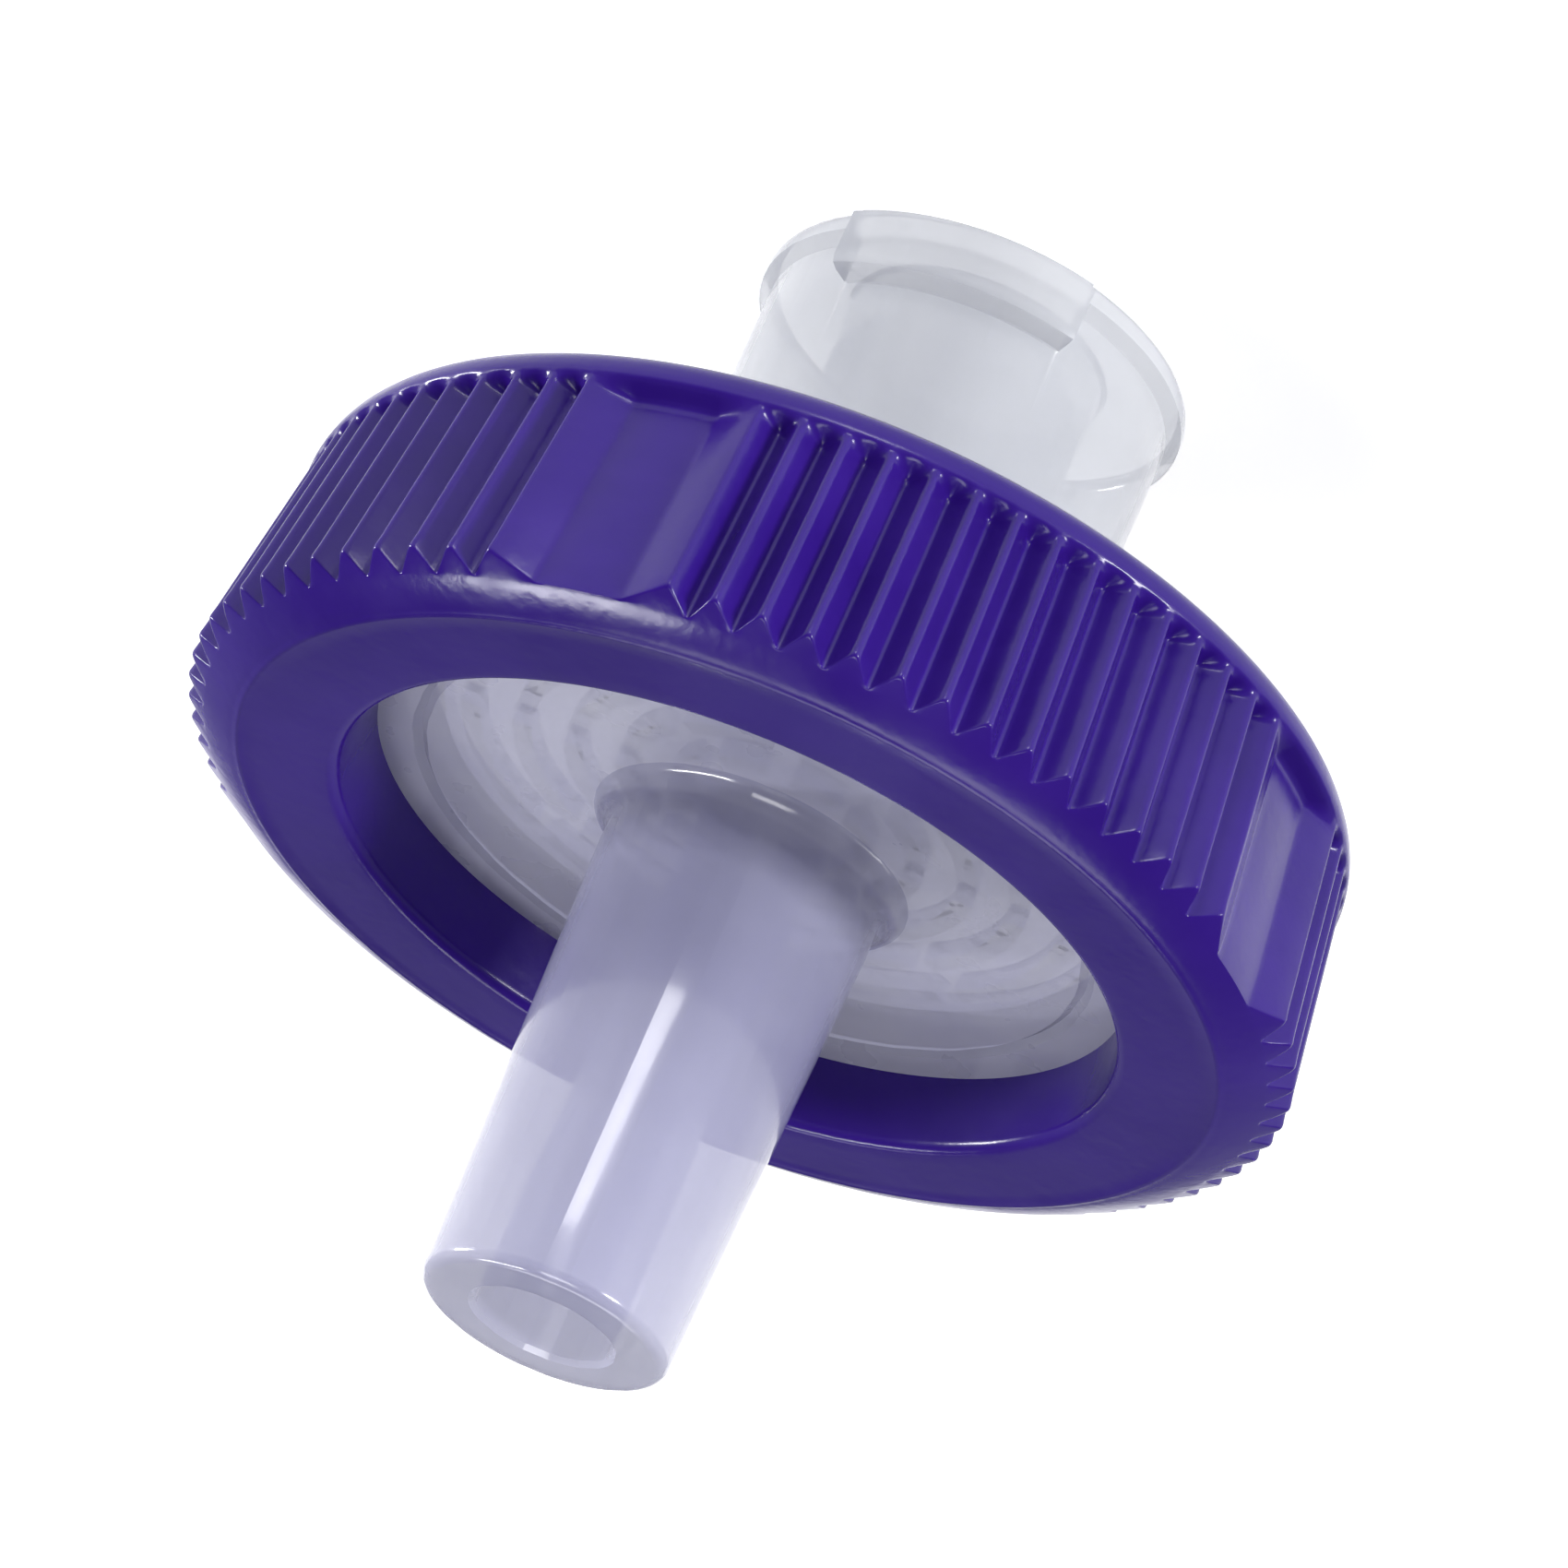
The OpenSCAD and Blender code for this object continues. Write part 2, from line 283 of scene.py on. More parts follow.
# %% [markdown]
# The outline is walked from the outlet plate over the face, down the side and back under the
# inlet face. The face, the opening and the band at the inlet end are plain circles, so their
# outline is a list of points: a radius and a height. Each edge gets an arc, because a moulded
# edge is never sharp, and the arc is what catches the light.

# %% Outline of the face and the band
edge_inset = 0.08


def face_outline():
    """Plain points (r, z) from the outlet plate over the face to the edge of the shoulder."""
    wall = (outlet_opening_r, ring_high - opening_edge_r)
    face_edge = (face_r - edge_inset, ring_high)
    outline = along((outlet_opening_r - opening_draft / 2, outlet_plate_z), wall, 4)
    outline += arc(wall[0] + opening_edge_r, wall[1], opening_edge_r, 180, 90)
    return outline + along(outline[-1], face_edge, 5)[1:] + [face_edge]


def band_outline():
    """Plain points from the band over its rounded edge and the inlet face to the inlet plate."""
    draft = math.atan(side_draft)
    edge_z = ring_low + inlet_edge_r
    lean = ((band_z - edge_z) * math.sin(draft) + inlet_edge_r) / math.cos(draft)
    edge_x = side_r(band_z) + band_step - lean
    outline = arc(edge_x, edge_z, inlet_edge_r, -math.degrees(draft), -90)
    wall_x, wall_z = inlet_opening_r + opening_edge_r, ring_low + opening_edge_r
    outline += along((edge_x, ring_low), (wall_x, ring_low), 4)[1:]
    outline += arc(wall_x, wall_z, opening_edge_r, 270, 180)
    return outline + [(inlet_opening_r - opening_draft / 2, inlet_plate_z)]


print(len(face_outline()), "points over the face,", len(band_outline()), "over the band")

# %% [markdown]
# On the shoulder and the side a point also says how much of the rib's rise is added to its
# radius. On the shoulder it has no height of its own: it lies on the slope wherever its radius
# puts it, so the slope cuts ribs and ramps as cleanly as a turning tool would. Down the side
# the share stays at one, and it falls to nothing where the grooves run out.

# %% Stations over the shoulder and the side
over_the_edge = ((-0.03, -0.01), (0.02, 0.008), (0.1, 0.0))
slope_shares = (0.3, 0.45, 0.6, 0.75, 0.9, 0.97)
rise_shares = (0.1, 0.3, 0.6, 0.85, 0.95)
run_out_steps = 6


def shoulder_stations():
    """Stations (r, share of the rise, depth under the slope) over the shoulder and its edge."""
    groove_r = rib_tip_r - rib_rise
    stations = [(face_r + d, 0.0, under) for d, under in over_the_edge]
    stations += [(face_r + (groove_r - face_r) * s, 0.0, 0.0) for s in slope_shares]
    stations += [(groove_r, share, 0.01 * share) for share in rise_shares]
    return stations + [(groove_r, 0.99, 0.03), (groove_r, 1.0, 0.07)]


def side_stations():
    """Stations (r, z, share of the rise) down the ribbed side and over the run-out."""
    run_top = band_z + run_out_h
    levels = (rib_end_z - 0.25, rib_end_z - 1.0, rib_end_z - 2.0, run_top + 0.1)
    stations = [(side_r(z) - rib_rise, z, 1.0) for z in levels]
    for step in range(run_out_steps + 1):
        t = step / run_out_steps
        z, filled = run_top - run_out_h * t, (rib_rise + band_step) * t * t * (3 - 2 * t)
        stations.append((side_r(z) - rib_rise + filled, z, max(0.0, 1 - filled / rib_rise)))
    return stations


print(len(shoulder_stations()), "stations over the shoulder")
print(len(side_stations()), "stations down the side")

# %% [markdown]
# The stations become rings of points and the rings become the skin. The two last rings close
# the groove that holds both flanges. They lie a hair inside the flanges, so no light leaks
# through between the violet and the clear plastic.

# %% Build the grip ring
groove_bite = 0.015


def plain_ring(r, z):
    """A round ring of points, with one point at every turn that the ribs use."""
    return [point_at(r, turn, z) for turn, _ in rib_heights]


def make_grip_ring():
    deep_r = flange_r - groove_bite
    groove = [(deep_r, inlet_plate_z + groove_bite), (deep_r, outlet_plate_z - groove_bite)]
    rings = [plain_ring(r, z) for r, z in face_outline()]
    for r, share, under in shoulder_stations():
        reaches = [r + share * rib_rise * h for _, h in rib_heights]
        rings.append([
            point_at(reach, turn, shoulder_z(reach) - under)
            for reach, (turn, _) in zip(reaches, rib_heights)
        ])
    for r, z, share in side_stations():
        rings.append([point_at(r + share * rib_rise * h, turn, z) for turn, h in rib_heights])
    rings += [plain_ring(r, z) for r, z in band_outline() + groove]
    piece = skin("violet_grip_ring", rings, sharp_above=55)
    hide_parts("grip_ring")
    return piece


grip_ring = make_grip_ring()

# %% [markdown]
# ## The clear halves
# Both halves are injection moulded in natural polypropylene. The inlet half has a tapered
# socket, two locking lugs and a foot that spreads into a plate, and spokes stand inside it. The
# outlet half has a tapered tube, and inside it round ridges, cut by straight channels, carry
# the membrane. These inner forms show faintly through the plastic.
# A spoke has straight sides, so its edge turns by more degrees near the axis than far from it.
# The turns of a ring therefore depend on the ring's radius: one column of points then runs
# along the side of each spoke.

# %% Columns of points that follow spokes and channels
spoke_side_gap = 0.02
gap_steps, gap_from, gap_share = 8, 0.16, 0.68


def fan(count, width, radius, extra=()):
    """Turns round a ring of this radius, each with True where it lies on a spoke."""
    half = width / 2
    reach = max(radius, width)
    turns = []
    for i in range(count):
        middle = (i + 0.5) * 360 / count
        for side in (-1, 1):
            for distance, inside in ((half, True), (half + spoke_side_gap, False)):
                turns.append((middle + side * math.degrees(math.asin(distance / reach)), inside))
        for step in range(1, gap_steps):
            turns.append((middle + (gap_from + gap_share * step / gap_steps) * 360 / count, False))
    turns += [(t, False) for t in extra]
    return sorted(turns)


def ringed(outline, count, width, least_r, extra=()):
    """Rings of points from stations (r, z, z on a spoke, r on a lug)."""
    rings = []
    for r, z, spoke_z, lug_reach in outline:
        ring = []
        for turn, on_spoke in fan(count, width, max(r, least_r), extra):
            reach = lug_reach if on_lug(turn) else r
            ring.append(point_at(reach, turn, spoke_z if on_spoke else z))
        rings.append(ring)
    return rings


print("a ring of the inlet half has", len(fan(spokes, spoke_w, chamber_r)), "points")

# %% [markdown]
# The two lugs are wings on the inlet's rim. A syringe's collar has a double thread, and the
# lugs are what it grips. Each side of a lug needs two columns of points close together, one on
# the lug and one on the round wall, so that the side stands up straight.

# %% Turns where the lugs begin and end
lug_side_gap = 1.012
lug_turns = []
for side in (0, 180):
    for edge in (-1, 1):
        middle, reach = lug_turn + side, edge * lug_angle / 2
        lug_turns += [(middle + reach) % 360, (middle + reach * lug_side_gap) % 360]
print("lug edges at", [round(t, 1) for t in sorted(lug_turns)])


def on_lug(turn):
    """True where a turn lies on one of the two lugs."""
    gap = min(abs((turn - lug_turn - side + 180) % 360 - 180) for side in (0, 180))
    return gap <= lug_angle / 2 + 0.01


# %% [markdown]
# ## The inlet half
# The outline starts at the mouth of the socket, climbs its six per cent taper to the feed hole,
# and crosses the floor with its spokes to the flange. It comes back along the plate and down
# the foot and the tube to the rim. Each row holds a radius and a height, then the height that a
# spoke has there and the radius that a lug has there. One row can so belong to a spoke, a lug
# and the round wall at once, and the skin stays closed without a boolean.

# %% Outline of the inlet half
mouth_bevel_r = 2.22
hole_edge = 0.06
seam_gap = 0.005
plate_from = 6.0


def inlet_outline():
    """Rows (r, z, z on a spoke, r on a lug) from the socket's mouth round to the rim."""
    floor_z = seam_z - channel_depth
    spoke_top = seam_z - spoke_gap
    socket_end_r = socket_mouth_r - luer_slope * socket_depth
    inside = [(mouth_bevel_r, 0.0), (socket_mouth_r, mouth_bevel_r - socket_mouth_r)]
    inside += along((socket_mouth_r, 0.6), (socket_end_r, socket_depth - 0.05), 6)
    inside += [(socket_end_r, socket_depth - 0.05), (socket_end_r - 0.05, socket_depth)]
    inside += [(feed_hole_r + hole_edge, socket_depth), (feed_hole_r, socket_depth + hole_edge)]
    inside += [(feed_hole_r, floor_z)]
    rows = [(r, z, z, r) for r, z in inside]
    spoke_from, spoke_to = 2 * feed_hole_r, chamber_r - spoke_w
    for r in (spoke_from, spoke_from + 0.03):
        rows.append((r, floor_z, floor_z if r == spoke_from else spoke_top, r))
    for r in (3.0, 4.0, spoke_to - 0.03):
        rows.append((r, floor_z, spoke_top, r))
    outside = [
        (spoke_to, floor_z), (chamber_r, floor_z),
        (chamber_r, seam_z - seam_gap), (flange_r, seam_z - seam_gap),
        (flange_r, inlet_plate_z + flange_chamfer), (flange_r - flange_chamfer, inlet_plate_z),
    ]
    outside += along((plate_from, inlet_plate_z), (foot_r, inlet_plate_z), 3)
    rows += [(r, z, z, r) for r, z in outside]
    foot = [
        (foot_r, inlet_plate_z), (foot_r - 0.08, inlet_plate_z - 0.06),
        (inlet_r + 0.06, inlet_plate_z - foot_h + 0.06), (inlet_r, inlet_plate_z - foot_h),
    ]
    rows += [(r, z, z, r) for r, z in foot]
    wall = [
        (inlet_r, 4.2, inlet_r), (inlet_r, 2.6, inlet_r), (inlet_r, lug_h + 0.02, inlet_r),
        (inlet_r, lug_h, inlet_r + 0.02), (inlet_r, lug_h, lug_r - lug_chamfer),
        (inlet_r, lug_h - 0.05, lug_r - 0.05), (inlet_r, lug_h - lug_chamfer, lug_r),
        (inlet_r, rim_h, lug_r), (rim_r, rim_h * 2 / 3, lug_r),
        (rim_r, lug_setback + lug_chamfer, lug_r),
    ]
    rows += [(r, z, z, lug) for r, z, lug in wall]
    round_r = rim_h / 3
    for turn in (0, -20, -40, -60, -75, -90):
        a = math.radians(turn)
        r, z = rim_r - round_r + round_r * math.cos(a), round_r + round_r * math.sin(a)
        lug_reach = max(r, lug_r - lug_chamfer) if z >= lug_setback * 0.8 else r
        rows.append((r, z, z, lug_reach))
    return rows


print(len(inlet_outline()), "rows round the inlet half")

# %% Build the inlet half


def make_inlet_housing():
    piece = skin("clear_inlet_housing", ringed(inlet_outline(), spokes, spoke_w, 2.0, lug_turns))
    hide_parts("inlet_housing")
    return piece


inlet_housing = make_inlet_housing()

# %% [markdown]
# ## The outlet half
# The outline starts at the tip, goes down the bore, and crosses the ridges that hold the
# membrane up from below. Straight channels cut through the ridges, so each ridge row also says
# how high the plastic stands inside a channel. Outside, a fine groove runs round the plate and
# a fillet leads into the tube, which narrows by six per cent to a rounded tip.

# %% Outline of the outlet half
bore_edge = 0.08
fan_least_r = 1.2
ridge_top_share = 0.94


def outlet_outline():
    """Rows (r, z, z in a channel, r) from the tip down the bore and round to the tip."""
    seat_z = membrane_high
    floor_z = seat_z + channel_depth
    bore_floor_r = bore_root_r + (bore_tip_r - bore_root_r) * channel_depth / (tip_z - seat_z)
    inside = [(bore_tip_r + bore_edge, tip_z), (bore_tip_r, tip_z - bore_edge)]
    inside += along((bore_tip_r, tip_z - 0.5), (bore_floor_r, floor_z), 6)
    inside += [(bore_floor_r, floor_z)]
    rows = [(r, z, z, r) for r, z in inside]
    step = (chamber_r - bore_tip_r) / drain_ridges
    for i in range(drain_ridges):
        middle = bore_tip_r + (i + 0.5) * step
        top = ridge_top_share
        for side, z in ((-1, floor_z), (-top, seat_z), (top, seat_z), (1, floor_z)):
            r = middle + side * ridge_w / 2
            rows.append((r, z, floor_z, r))
    outside = [
        (chamber_r, floor_z), (chamber_r, seat_z), (membrane_r, seat_z),
        (membrane_r, seam_z + seam_gap), (flange_r, seam_z + seam_gap),
        (flange_r, outlet_plate_z - flange_chamfer), (flange_r - flange_chamfer, outlet_plate_z),
        (plate_from, outlet_plate_z),
    ]
    outside += [
        (groove_r + groove_w / 2, outlet_plate_z), (groove_r, outlet_plate_z - groove_w / 2),
        (groove_r - groove_w / 2, outlet_plate_z),
    ]
    fillet_r, fillet_z = outlet_root_r + outlet_fillet_r, outlet_plate_z + outlet_fillet_r
    outside += along((5.0, outlet_plate_z), (fillet_r, outlet_plate_z), 4)
    outside += arc(fillet_r, fillet_z, outlet_fillet_r, 270, 180)
    tube_from = (outlet_root_r, fillet_z + 0.3)
    outside += along(tube_from, (outlet_tip_r, tip_z - tip_edge_r), 8)
    outside += arc(outlet_tip_r - tip_edge_r, tip_z - tip_edge_r, tip_edge_r, 0, 90)
    rows += [(r, z, z, r) for r, z in outside]
    return rows


print(len(outlet_outline()), "rows round the outlet half")

# %% Build the outlet half


def make_outlet_housing():
    rings = []
    for r, z, cut_z, _ in outlet_outline():
        turns = fan(drain_cuts, drain_cut_w, max(r, fan_least_r))
        rings.append([point_at(r, turn, cut_z if on_cut else z) for turn, on_cut in turns])
    piece = skin("clear_outlet_housing", rings)
    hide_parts("outlet_housing")
    return piece


outlet_housing = make_outlet_housing()

# %% [markdown]
# ## The membrane
# The membrane is a thin white disc of porous film, clamped flat between the two halves. The
# disc is a lathe form with softened edges. A tiny hole at the axis, hidden under the tube, lets
# it close like the other skins, and many rings keep its faces even.

# %% Build the membrane
membrane_columns = 180
membrane_hole_r = 0.02
membrane_edge = ((0.04, 0.0), (0.0, 0.03))


def make_membrane():
    low, high = membrane_low, membrane_high
    rim = [(membrane_r - inset, high - drop) for inset, drop in membrane_edge]
    rim += [(membrane_r - inset, low + drop) for inset, drop in reversed(membrane_edge)]
    outline = along((membrane_hole_r, high), rim[0], 24) + rim
    outline += along((membrane_r - 0.2, low), (membrane_hole_r, low), 6) + [(membrane_hole_r, low)]
    turns = [column * 360 / membrane_columns for column in range(membrane_columns)]
    rings = [[point_at(r, turn, z) for turn in turns] for r, z in outline]
    piece = skin("white_membrane", rings)
    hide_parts("membrane")
    return piece


membrane = make_membrane()

# %% [markdown]
# ## Finishes
# Each finish is a node material, so it has no image and no seam. Its patterns are placed by the
# piece's own coordinates in metres, so a noise scale of 2000 means grains of half a millimetre.
# Numbers that are the same all over are set on the shader itself, and nodes drive only what
# changes from place to place: colour, roughness and the fine bumps that the mould leaves.

# %% Helpers for finishes


class Finish:
    """A new material with its shader and short calls for the nodes that feed it."""

    def __init__(self, name, roughness, **values):
        self.material = bpy.data.materials.new(name)
        self.material.use_nodes = True
        self.nodes = self.material.node_tree.nodes
        self.links = self.material.node_tree.links
        self.shader = self.nodes["Principled BSDF"]
        self.place = self.nodes.new("ShaderNodeTexCoord").outputs["Object"]
        self.shader.inputs["Roughness"].default_value = roughness
        for socket, value in values.items():
            self.shader.inputs[socket.replace("_", " ")].default_value = value

    def stretched(self, scale):
        """The piece's own coordinates, squeezed or stretched along the axes."""
        node = self.nodes.new("ShaderNodeMapping")
        node.inputs["Scale"].default_value = scale
        self.links.new(self.place, node.inputs["Vector"])
        return node.outputs["Vector"]

    def grain(self, scale, detail=3.0, stretch=None):
        """A noise through the piece, so many grains to the metre."""
        node = self.nodes.new("ShaderNodeTexNoise")
        node.inputs["Scale"].default_value = scale
        node.inputs["Detail"].default_value = detail
        place = self.stretched(stretch) if stretch else self.place
        self.links.new(place, node.inputs["Vector"])
        return node.outputs["Fac"]

    def between(self, source, low, high, source_low=0.35, source_high=0.65):
        """A grain spread between two values."""
        node = self.nodes.new("ShaderNodeMapRange")
        ends = {"From Min": source_low, "From Max": source_high, "To Min": low, "To Max": high}
        for socket, value in ends.items():
            node.inputs[socket].default_value = value
        self.links.new(source, node.inputs["Value"])
        return node.outputs["Result"]

    def colours(self, source, first, second):
        """A mix of two colours, each a plain colour or the output of another node."""
        node = self.nodes.new("ShaderNodeMix")
        node.data_type = "RGBA"
        for socket, colour in (("A", first), ("B", second)):
            if isinstance(colour, tuple):
                node.inputs[socket].default_value = (*colour, 1)
            else:
                self.links.new(colour, node.inputs[socket])
        self.links.new(source, node.inputs["Factor"])
        return node.outputs["Result"]

    def bump(self, source, depth, under=None):
        """Fine relief of a depth in metres, laid over another relief if there is one."""
        node = self.nodes.new("ShaderNodeBump")
        node.inputs["Distance"].default_value = depth
        self.links.new(source, node.inputs["Height"])
        if under:
            self.links.new(under, node.inputs["Normal"])
        return node.outputs["Normal"]

    def feed(self, **sources):
        """Links each node output to the shader's socket of that name."""
        for socket, source in sources.items():
            self.links.new(source, self.shader.inputs[socket.replace("_", " ")])


def coat(piece, finish):
    """Makes a finish the only one on a piece."""
    piece.data.materials.clear()
    piece.data.materials.append(finish.material)
    print(piece.name, "has", finish.material.name, "with", len(finish.nodes), "nodes")


print("a noise scale of 2000 gives grains of", 1 / 2000 / MM, "mm")

# %% [markdown]
# ## Violet plastic
# The ring is pigmented polypropylene with a satin gloss. Moulded plastic is never one even
# colour: pigment swirls faintly where it flowed, and the mould's skin has fine pits. The colour
# itself is nearly pure blue-violet, and the greyer tone of the face and of the ribs is sheen.
# The specular level is lowered a little, so that slopes and grooves stay deep.

# %% Finish of the grip ring
violet_deep, violet_mid = (0.023, 0.005, 0.17), (0.032, 0.009, 0.205)
violet = Finish("violet_polypropylene", roughness=0.22, Specular_IOR_Level=0.27)
violet_swirl = violet.grain(260, detail=4, stretch=(1, 1, 1.8))
violet_pits = violet.grain(5200, detail=2)
violet.feed(
    Base_Color=violet.colours(violet.between(violet_swirl, 0, 1), violet_deep, violet_mid),
    Roughness=violet.between(violet.grain(700), 0.18, 0.27),
    Normal=violet.bump(violet_pits, 0.000004, violet.bump(violet.grain(900), 0.000012)),
)
coat(grip_ring, violet)

# %% [markdown]
# ## Clear plastic
# Natural polypropylene is milky. Some light goes straight through, some is bent, and the rest
# scatters in the wall and gives the part its pale lavender cast. One shader does all three: one
# minus alpha is the share that passes straight, the transmission weight is the share that is
# bent, and the base colour scatters what is left. Glass alone would look like crystal, and would
# let no lamp light reach the membrane. The thin plates are clearer than the walls of the tubes,
# so the faces between the two plates get a finish of their own. The outlet tube gets a darker,
# more violet body than the inlet tube, though both are the same plastic: that is painted shade,
# and painted violet from the ring seen through it. Flow lines along the axis vary the tone, and
# a thin coat keeps the outer gloss sharp.

# %% Finishes of the housing
plate_reach = 0.01


def clear_plastic(name, body, flow, roughness, **values):
    """Milky plastic: a body colour, the colour of its flow lines, and the shader's own values."""
    coats = {"IOR": 1.49, "Coat_Weight": 0.5, "Coat_Roughness": 0.07}
    finish = Finish(name, roughness=roughness, **coats, **values)
    flow_lines = finish.between(finish.grain(420, detail=3, stretch=(1, 1, 0.25)), 0, 1)
    finish.feed(
        Base_Color=finish.colours(flow_lines, body, flow),
        Roughness=finish.between(finish.grain(900), roughness - 0.04, roughness + 0.04),
        Normal=finish.bump(finish.grain(1500), 0.000003),
    )
    return finish


def coat_thin_and_thick(piece, thin, thick):
    """Gives the faces between the two plates the thin finish, and the rest the thick one."""
    coat(piece, thick)
    piece.data.materials.append(thin.material)
    low, high = inlet_plate_z - plate_reach, outlet_plate_z + plate_reach
    thin_faces = 0
    for face in piece.data.polygons:
        face.material_index = 1 if low < face.center.z / MM < high else 0
        thin_faces += face.material_index
    print(thin.material.name, "is on", thin_faces, "of its faces")


thin_plate = clear_plastic(
    "clear_plate", body=(0.68, 0.68, 0.89), flow=(0.76, 0.76, 0.94),
    roughness=0.3, Alpha=0.42, Transmission_Weight=0.1,
)
# Painted shade: the outlet tube's body is darker and more violet than the inlet tube's, though the
# plastic is the same; it paints in the violet ring seen through it.
shaded_outlet_tube = clear_plastic(
    "clear_outlet_tube_painted_shade", body=(0.41, 0.41, 0.59), flow=(0.47, 0.47, 0.64),
    roughness=0.16, Alpha=0.7, Transmission_Weight=0.25,
)
inlet_tube = clear_plastic(
    "clear_inlet_tube", body=(0.62, 0.64, 0.7), flow=(0.69, 0.71, 0.76),
    roughness=0.16, Alpha=0.78, Transmission_Weight=0.35,
)
coat_thin_and_thick(inlet_housing, thin_plate, inlet_tube)
coat_thin_and_thick(outlet_housing, thin_plate, shaded_outlet_tube)

# %% [markdown]
# ## Membrane film
# The film is a mat of fibres finer than a hair. Two crossed, stretched grains give its cloth-like
# nap, and a wide soft grain gives the faint cloudiness of wet-cast film.

# %% Finish of the membrane
film_shade, film_white = (0.92, 0.92, 0.93), (0.97, 0.97, 0.97)
film = Finish("membrane_film", roughness=0.85, IOR=1.4)
fibres_along = film.grain(6000, detail=4, stretch=(1, 0.25, 1))
fibres_across = film.grain(6000, detail=4, stretch=(0.25, 1, 1))
film.feed(
    Base_Color=film.colours(film.between(film.grain(500), 0, 1), film_shade, film_white),
    Roughness=film.between(fibres_along, 0.75, 0.92),
    Normal=film.bump(fibres_along, 0.00001, film.bump(fibres_across, 0.00001)),
)
coat(membrane, film)

# %% [markdown]
# ## Floor and light
# The bench is a plain white sheet. Its own shade comes from the lamps, and for the eye, mirrors
# and clear plastic a little light is added, so that it reads as white paper all the way back and
# still keeps the soft shadow. A sheet that only glows would be as white, but the shadow would
# be lost.

# %% Floor
floor_half = 0.6
paper_white, paper_glow = (0.8, 0.8, 0.8, 1), 0.75


def seen_directly(nodes, links):
    """1 for rays from the eye, a mirror or clear plastic, 0 for light that falls on the part."""
    path = nodes.new("ShaderNodeLightPath")
    total = path.outputs["Is Camera Ray"]
    for kind in ("Is Glossy Ray", "Is Transmission Ray"):
        node = nodes.new("ShaderNodeMath")
        node.operation = "MAXIMUM"
        links.new(total, node.inputs[0])
        links.new(path.outputs[kind], node.inputs[1])
        total = node.outputs["Value"]
    return total


def make_floor():
    mesh = bpy.data.meshes.new("bench_sheet")
    corners = ((-1, -1), (1, -1), (1, 1), (-1, 1))
    points = [(x * floor_half, y * floor_half, 0) for x, y in corners]
    mesh.from_pydata(points, [], [(0, 1, 2, 3)])
    sheet = bpy.data.objects.new("bench_sheet", mesh)
    bpy.context.scene.collection.objects.link(sheet)
    white = (1, 1, 1, 1)
    paper = Finish("white_paper", roughness=0.8, Base_Color=paper_white, Emission_Color=white)
    scaled = paper.nodes.new("ShaderNodeMath")
    scaled.operation = "MULTIPLY"
    scaled.inputs[1].default_value = paper_glow
    paper.links.new(seen_directly(paper.nodes, paper.links), scaled.inputs[0])
    paper.feed(Emission_Strength=scaled.outputs["Value"])
    coat(sheet, paper)


make_floor()
print("floor is", floor_half * 2, "m wide")

# %% [markdown]
# Around the bench the world is a plain studio, with pale walls that the face mirrors, and a dim
# ceiling that keeps the sloping shoulder deep in colour. A picture of a real room could light
# the part too, but two shades and a soft step between them are enough, and easy to steer.

# %% World
walls, ceiling = 0.36, 0.1
walls_end, ceiling_starts = 0.35, 0.62
world = bpy.data.worlds.new("studio")
bpy.context.scene.world = world
world.use_nodes = True
backdrop = world.node_tree.nodes["Background"]
backdrop.inputs["Color"].default_value = (0.93, 0.95, 1, 1)


def shade_studio(nodes, links):
    """Pale walls all round, and a ceiling that falls off into the dark."""
    way = nodes.new("ShaderNodeTexCoord").outputs["Generated"]
    split = nodes.new("ShaderNodeSeparateXYZ")
    links.new(way, split.inputs["Vector"])
    fall = nodes.new("ShaderNodeMapRange")
    fall.interpolation_type = "SMOOTHSTEP"
    ends = {"From Min": walls_end, "From Max": ceiling_starts, "To Min": walls, "To Max": ceiling}
    for socket, value in ends.items():
        fall.inputs[socket].default_value = value
    links.new(split.outputs["Z"], fall.inputs["Value"])
    links.new(fall.outputs["Result"], backdrop.inputs["Strength"])


shade_studio(world.node_tree.nodes, world.node_tree.links)
bpy.context.scene.view_settings.view_transform = "Standard"
print("walls light the part at", walls, "and the ceiling at", ceiling)

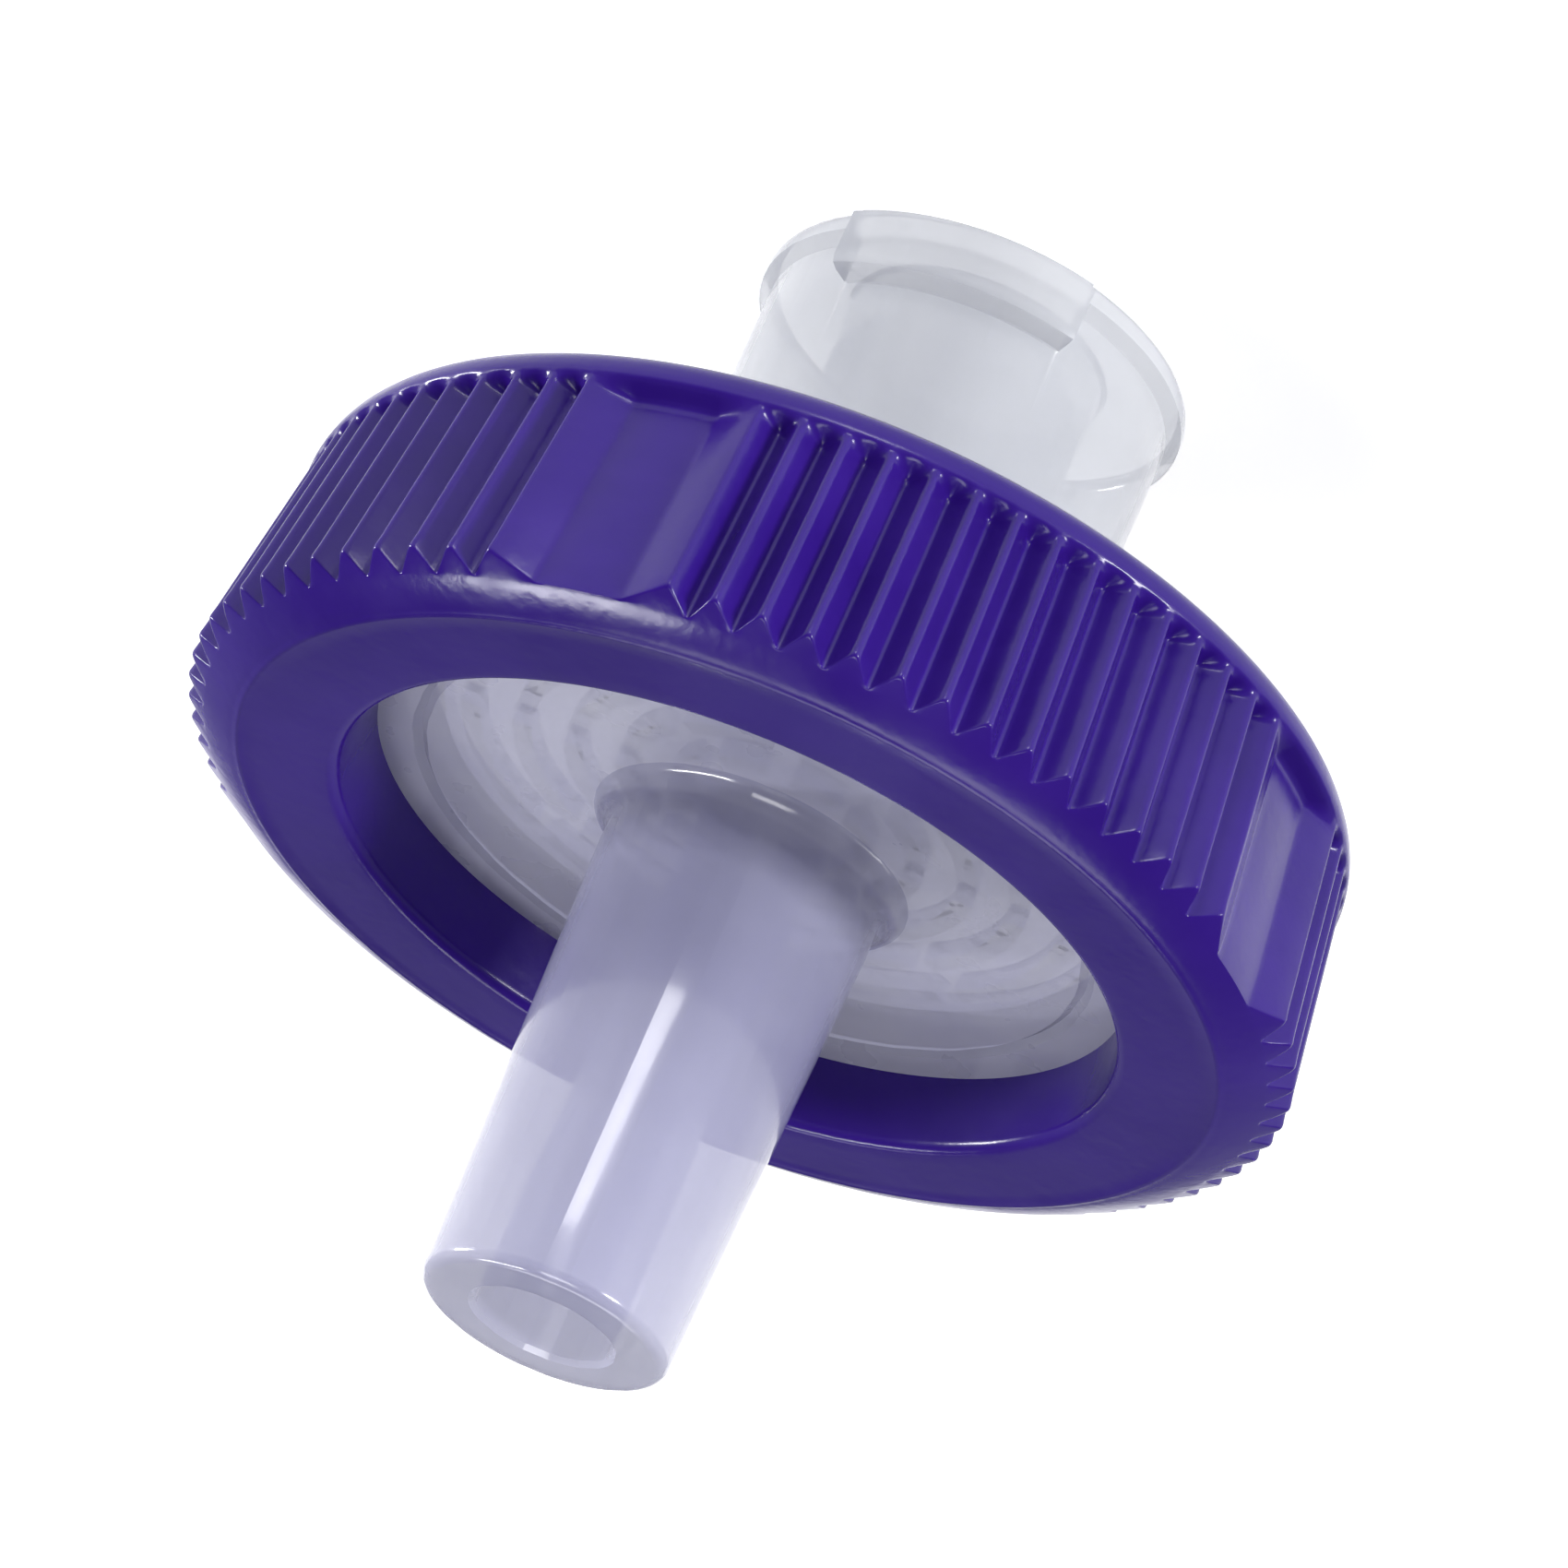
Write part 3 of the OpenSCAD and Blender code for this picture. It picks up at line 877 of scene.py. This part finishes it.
# %% [markdown]
# Two low lamps rake the ribs, one from each side, and stay under the rim of the opening, so its
# wall keeps its depth. Two higher ones reach the face and the membrane from the back and the
# front, so that neither throws a hard shadow of the tube. A narrow lamp draws the line along
# the shoulder's edge.

# %% Lamps


def soft_lamp(name, turn, rise, distance, size, power):
    """An area lamp at a turn and rise, its distance and size in metres, aimed at the ring."""
    way = way_to(turn, rise)
    lamp = bpy.data.objects.new(name, bpy.data.lights.new(name, "AREA"))
    lamp.data.shape = "RECTANGLE"
    lamp.data.size, lamp.data.size_y = size
    lamp.data.energy = power
    lamp.location = aim + way * distance
    lamp.rotation_euler = way.to_track_quat("Z", "Y").to_euler()
    bpy.context.scene.collection.objects.link(lamp)
    print(name, "at", [round(c, 3) for c in lamp.location], "m")
    return lamp


soft_lamp("left_lamp", turn=118, rise=4, distance=0.35, size=(0.08, 0.05), power=1.05)
soft_lamp("right_lamp", turn=-26, rise=4, distance=0.35, size=(0.08, 0.05), power=1.0)
soft_lamp("back_lamp", turn=205, rise=54, distance=0.35, size=(0.16, 0.12), power=0.24)
soft_lamp("front_lamp", turn=22, rise=68, distance=0.35, size=(0.12, 0.1), power=0.28)
soft_lamp("edge_lamp", turn=146, rise=63, distance=0.3, size=(0.018, 0.1), power=0.28)

# %% [markdown]
# The outlet tube is smooth and round, so it shows a lamp as one long line. A small strip lies
# on the bench in front of the part, faces up and draws that gleam along the tube's side. The
# camera itself doesn't see the strip.

# %% Gleam strip on the bench
gleam_turn, gleam_lift = 31, 0.0008
gleam_strip = soft_lamp(
    "gleam_strip", turn=gleam_turn, rise=0, distance=0.042, size=(0.009, 0.03), power=0.01
)
gleam_strip.location.z = gleam_lift
gleam_strip.rotation_euler = (math.pi, 0, math.radians(gleam_turn - 90))
gleam_strip.visible_camera = False
print("gleam strip lies", gleam_lift / MM, "mm above the bench, facing up")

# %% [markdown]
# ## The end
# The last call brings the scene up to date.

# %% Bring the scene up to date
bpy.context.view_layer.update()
